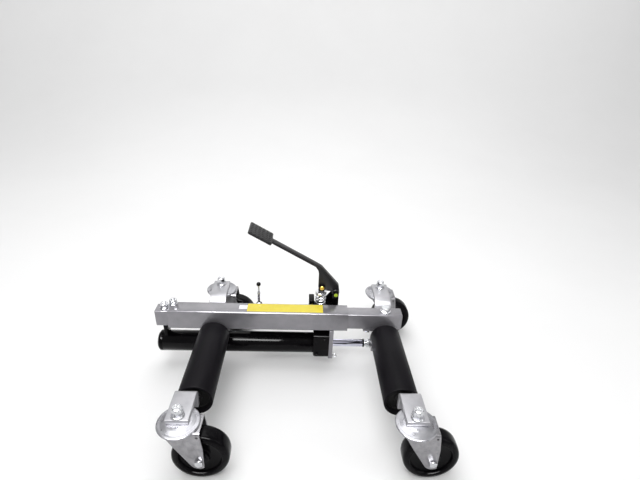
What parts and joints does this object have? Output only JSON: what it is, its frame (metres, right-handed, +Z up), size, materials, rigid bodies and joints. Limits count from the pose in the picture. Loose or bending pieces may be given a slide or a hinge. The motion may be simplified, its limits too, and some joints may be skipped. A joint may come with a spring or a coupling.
{
  "type": "wheel dolly",
  "caption": "Hydraulic wheel dolly: two rollers on a telescopic steel tube, a foot pump and pull ram that draw them together, and swivel casters.",
  "frame": {"origin": "on the floor, under the centre of the bounding box", "axes": "+X along the telescopic tube, towards the end that slides out; -Y towards the open end, where the rollers reach out; +Z up"},
  "size_m": [0.7786, 0.63, 0.4347],
  "materials": {
    "silver_paint": "satin silver-grey paint on steel",
    "black_enamel": "gloss black enamel on steel",
    "roller_black": "satin charcoal paint on steel tube",
    "wheel_black": "moulded gloss black",
    "pedal_black": "satin black paint on steel",
    "yellow_zinc": "yellow chromate zinc plating",
    "chrome": "polished hard chrome",
    "zinc_plate": "bright zinc plating on pressed steel"
  },
  "bodies": {
    "outer_frame": {"outer_tube": "silver_paint", "end_block": "silver_paint", "end_bolt_left": "zinc_plate", "end_bolt_right": "zinc_plate", "left_axle_saddle": "silver_paint", "left_axle_bar": "zinc_plate", "cylinder_tube": "black_enamel", "cylinder_cap": "black_enamel", "head_block": "black_enamel", "cylinder_hanger": "silver_paint", "hanger_clip": "zinc_plate", "pressure_pipe": "zinc_plate", "pump_body": "black_enamel", "fulcrum_bracket": "black_enamel", "fulcrum_bolt": "black_enamel", "return_spring": "zinc_plate", "front_left_strap": "silver_paint", "front_left_race": "zinc_plate", "front_left_kingpin": "zinc_plate", "rear_left_strap": "silver_paint", "rear_left_race": "zinc_plate", "rear_left_kingpin": "zinc_plate"},
    "inner_frame": {"inner_tube": "silver_paint", "arm_bolt": "zinc_plate", "right_axle_saddle": "silver_paint", "right_axle_bar": "zinc_plate", "rod_bracket": "silver_paint", "rod_bracket_bolt": "zinc_plate", "rod_end_fitting": "zinc_plate", "rod_ring": "black_enamel", "piston_rod": "chrome", "piston": "zinc_plate", "front_right_strap": "silver_paint", "front_right_race": "zinc_plate", "front_right_kingpin": "zinc_plate", "rear_right_strap": "silver_paint", "rear_right_race": "zinc_plate", "rear_right_kingpin": "zinc_plate"},
    "left_roller": {"left_roller": "roller_black", "left_roller_bush_front": "black_enamel", "left_roller_bush_rear": "black_enamel"},
    "right_roller": {"right_roller": "roller_black", "right_roller_bush_front": "black_enamel", "right_roller_bush_rear": "black_enamel"},
    "pedal": {"pedal": "pedal_black", "plunger_pin": "yellow_zinc"},
    "plunger": {"plunger": "zinc_plate"},
    "release_lever": {"release_lever": "zinc_plate"},
    "front_left_swivel": {"front_left_fork": "zinc_plate", "front_left_axle_bolt": "zinc_plate"},
    "front_left_wheel": {"front_left_wheel": "wheel_black"},
    "front_right_swivel": {"front_right_fork": "zinc_plate", "front_right_axle_bolt": "zinc_plate"},
    "front_right_wheel": {"front_right_wheel": "wheel_black"},
    "rear_left_swivel": {"rear_left_fork": "zinc_plate", "rear_left_axle_bolt": "zinc_plate"},
    "rear_left_wheel": {"rear_left_wheel": "wheel_black"},
    "rear_right_swivel": {"rear_right_fork": "zinc_plate", "rear_right_axle_bolt": "zinc_plate"},
    "rear_right_wheel": {"rear_right_wheel": "wheel_black"}
  },
  "joints": [
    {"name": "frame_slide", "type": "slide", "parent": "outer_frame", "child": "inner_frame", "axis": [1, 0, 0], "range_m": [-0.045, 0.17]},
    {"name": "left_roller_spin", "type": "hinge", "parent": "outer_frame", "child": "left_roller", "pos_m": [-0.22175, -0.061, 0.132], "axis": [0, 1, 0], "continuous": true},
    {"name": "right_roller_spin", "type": "hinge", "parent": "inner_frame", "child": "right_roller", "pos_m": [0.26825, -0.061, 0.132], "axis": [0, 1, 0], "continuous": true},
    {"name": "pedal_hinge", "type": "hinge", "parent": "outer_frame", "child": "pedal", "pos_m": [0.12425, 0.147, 0.229], "axis": [0, -1, 0], "range_deg": [0, 22], "stiffness_Nm_per_rad": 6, "springref_deg": -17.19},
    {"name": "plunger_slide", "type": "slide", "parent": "outer_frame", "child": "plunger", "axis": [0, 0, -1], "range_m": [0, 0.017], "deforming": ["return_spring"]},
    {"name": "release_hinge", "type": "hinge", "parent": "outer_frame", "child": "release_lever", "pos_m": [-0.10275, 0.147, 0.178], "axis": [0, -1, 0], "range_deg": [0, 25], "stiffness_Nm_per_rad": 0.3, "springref_deg": -17.19},
    {"name": "front_left_swivel", "type": "hinge", "parent": "outer_frame", "child": "front_left_swivel", "pos_m": [-0.23525, -0.267, 0.14], "axis": [0, 0, 1], "range_deg": [-230, 40]},
    {"name": "front_left_wheel_spin", "type": "hinge", "parent": "front_left_swivel", "child": "front_left_wheel", "pos_m": [-0.19225, -0.267, 0.0645], "axis": [0, 1, 0], "continuous": true},
    {"name": "front_right_swivel", "type": "hinge", "parent": "inner_frame", "child": "front_right_swivel", "pos_m": [0.28175, -0.267, 0.14], "axis": [0, 0, 1], "range_deg": [-215, 55]},
    {"name": "front_right_wheel_spin", "type": "hinge", "parent": "front_right_swivel", "child": "front_right_wheel", "pos_m": [0.32475, -0.267, 0.0645], "axis": [0, 1, 0], "continuous": true},
    {"name": "rear_left_swivel", "type": "hinge", "parent": "outer_frame", "child": "rear_left_swivel", "pos_m": [-0.23525, 0.267, 0.14], "axis": [0, 0, 1], "continuous": true},
    {"name": "rear_left_wheel_spin", "type": "hinge", "parent": "rear_left_swivel", "child": "rear_left_wheel", "pos_m": [-0.19225, 0.267, 0.0645], "axis": [0, 1, 0], "continuous": true},
    {"name": "rear_right_swivel", "type": "hinge", "parent": "inner_frame", "child": "rear_right_swivel", "pos_m": [0.28175, 0.267, 0.14], "axis": [0, 0, 1], "continuous": true},
    {"name": "rear_right_wheel_spin", "type": "hinge", "parent": "rear_right_swivel", "child": "rear_right_wheel", "pos_m": [0.32475, 0.267, 0.0645], "axis": [0, 1, 0], "continuous": true}
  ],
  "couplings": [
    {"joint": "plunger_slide", "follows": "pedal_hinge", "m_per_rad": 0.0432}
  ]
}
